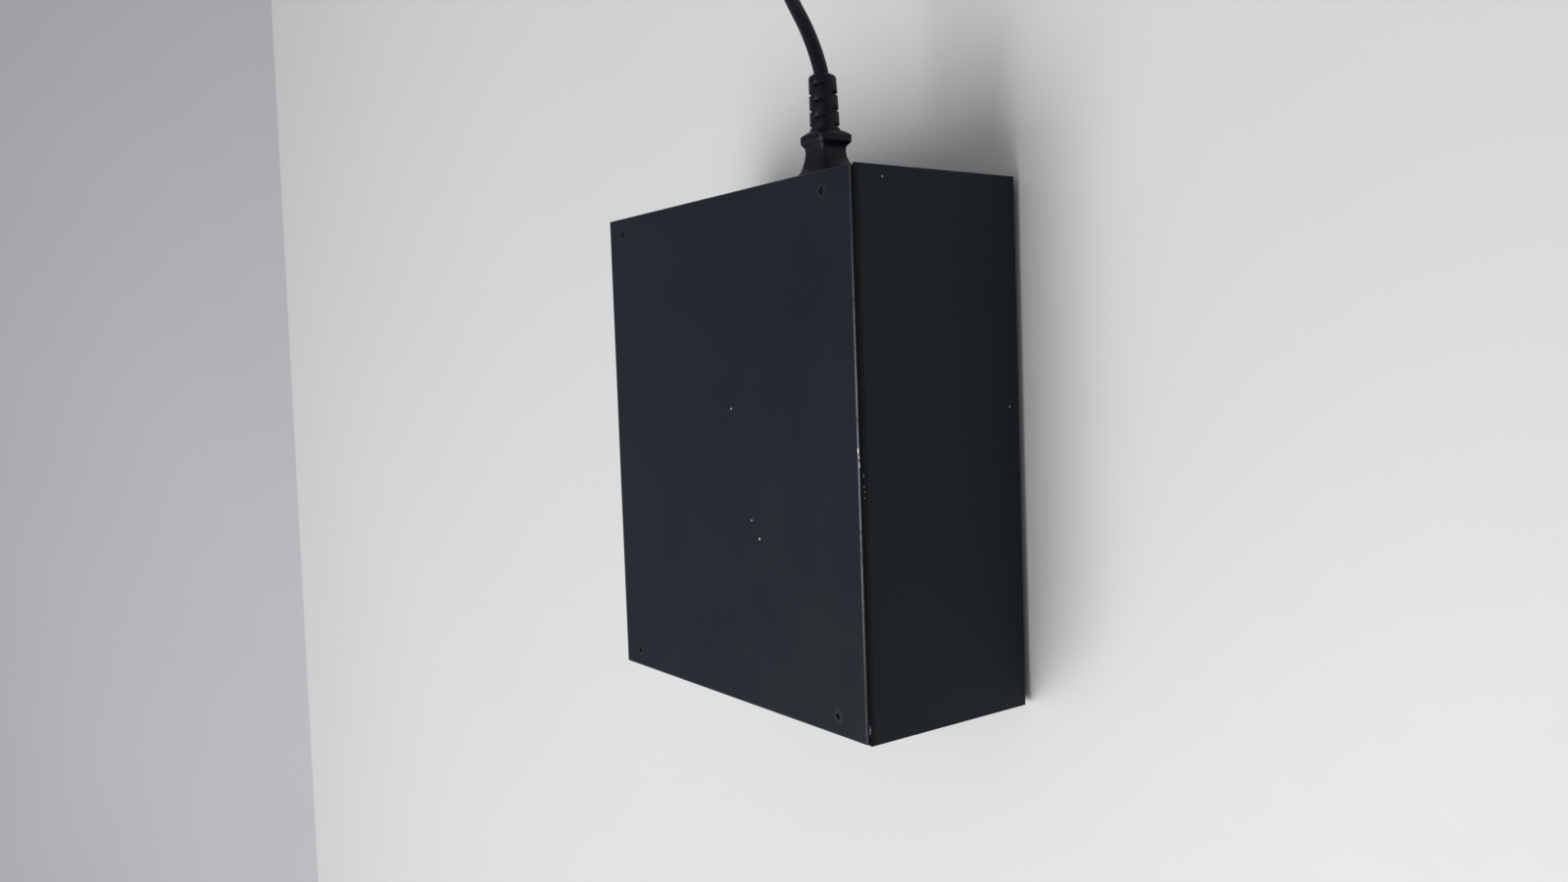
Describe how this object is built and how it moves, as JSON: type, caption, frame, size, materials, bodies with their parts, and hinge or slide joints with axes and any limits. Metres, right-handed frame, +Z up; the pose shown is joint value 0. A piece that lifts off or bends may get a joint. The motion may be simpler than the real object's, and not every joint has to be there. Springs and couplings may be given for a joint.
{
  "type": "PoE injector",
  "caption": "Desktop multi-port Power over Ethernet injector in a black folded steel case, with a detachable mains lead plugged in at the rear.",
  "frame": {"origin": "on the resting plane under the middle of the case, at the bottoms of its rubber feet", "axes": "+Z up, -Y front with the network jacks, +Y rear with the mains inlet, +X the side beside the inlet"},
  "size_m": [0.2617, 0.4893, 0.1015],
  "materials": {
    "case_paint": "satin powder coat",
    "black_steel": "black oxide",
    "zinc_steel": "zinc plated",
    "nickel_brass": "nickel plated",
    "tinned_copper": "tinned",
    "black_rubber": "matt",
    "board_green": "solder mask",
    "black_plastic": "fine texture",
    "jack_shield": "nickel plated",
    "gold_contact": "gold plated",
    "clear_plastic": "clear",
    "lamp": "clear",
    "capacitor_sleeve": "shrink sleeve",
    "terminal_green": "moulded",
    "insulation": "polyester film",
    "ferrite": "matt",
    "winding_tape": "polyester tape",
    "choke_winding": "enamelled copper",
    "aluminium": "extruded",
    "film_cap_yellow": "boxed",
    "fuse_glass": "clear",
    "rocker_plastic": "gloss",
    "bush_bronze": "sintered",
    "wire_insulation": "pvc",
    "cord_pvc": "soft pvc",
    "tie_fabric": "hook and loop"
  },
  "bodies": {
    "case": {"base_tray": "case_paint", "board_screws": "zinc_steel", "board_standoffs": "nickel_brass", "bulk_capacitors": "capacitor_sleeve", "channel_capacitors": "capacitor_sleeve", "controller_chips": "black_plastic", "cover": "case_paint", "cover_nuts": "zinc_steel", "cover_screws": "black_steel", "data_transformers": "black_plastic", "earth_lug": "tinned_copper", "earth_stud": "zinc_steel", "fan_bush": "bush_bronze", "fan_frame": "black_plastic", "fan_guard": "jack_shield", "fan_screws": "black_steel", "fan_stator": "choke_winding", "film_capacitor": "film_cap_yellow", "foot_screws": "black_steel", "front_panel": "case_paint", "fuse_clips": "zinc_steel", "heat_sinks": "aluminium", "indicator_lamps": "lamp", "inlet_body": "black_plastic", "inlet_pins": "tinned_copper", "inlet_screws": "black_steel", "insulator_sheet": "insulation", "jack_contacts": "gold_contact", "jack_housing": "black_plastic", "jack_shield": "jack_shield", "light_pipe_carrier": "black_plastic", "light_pipes": "clear_plastic", "m3_nuts": "zinc_steel", "m4_nuts": "zinc_steel", "mains_choke": "choke_winding", "mains_fuse": "fuse_glass", "mains_terminal": "terminal_green", "mains_wires": "wire_insulation", "output_board": "board_green", "output_capacitors": "capacitor_sleeve", "output_terminals": "terminal_green", "panel_screws": "black_steel", "power_transistors": "black_plastic", "rubber_feet": "black_rubber", "supply_board": "board_green", "supply_wires": "wire_insulation", "switch_body": "black_plastic", "switch_terminals": "tinned_copper", "transformer_core": "ferrite", "transformer_winding": "winding_tape"},
    "fan": {"fan_rotor": "black_plastic"},
    "rocker": {"switch_rocker": "rocker_plastic"},
    "power_cord": {"cord_connector": "cord_pvc", "connector_contacts": "tinned_copper", "cord_lead": "cord_pvc", "cord_coil": "cord_pvc", "cord_tail": "cord_pvc", "cord_tie": "tie_fabric", "mains_plug": "cord_pvc", "plug_blades": "tinned_copper"}
  },
  "joints": [
    {"name": "fan_spin", "type": "hinge", "parent": "case", "child": "fan", "pos_m": [-0.0575, 0.112, 0.054], "axis": [0, 1, 0], "continuous": true},
    {"name": "rocker_tilt", "type": "hinge", "parent": "case", "child": "rocker", "pos_m": [0.0173, 0.124, 0.0765], "axis": [1, 0, 0], "range_deg": [0, 20]},
    {"name": "cord_unplug", "type": "slide", "parent": "case", "child": "power_cord", "axis": [0, 1, 0], "range_m": [0, 0.02]}
  ]
}
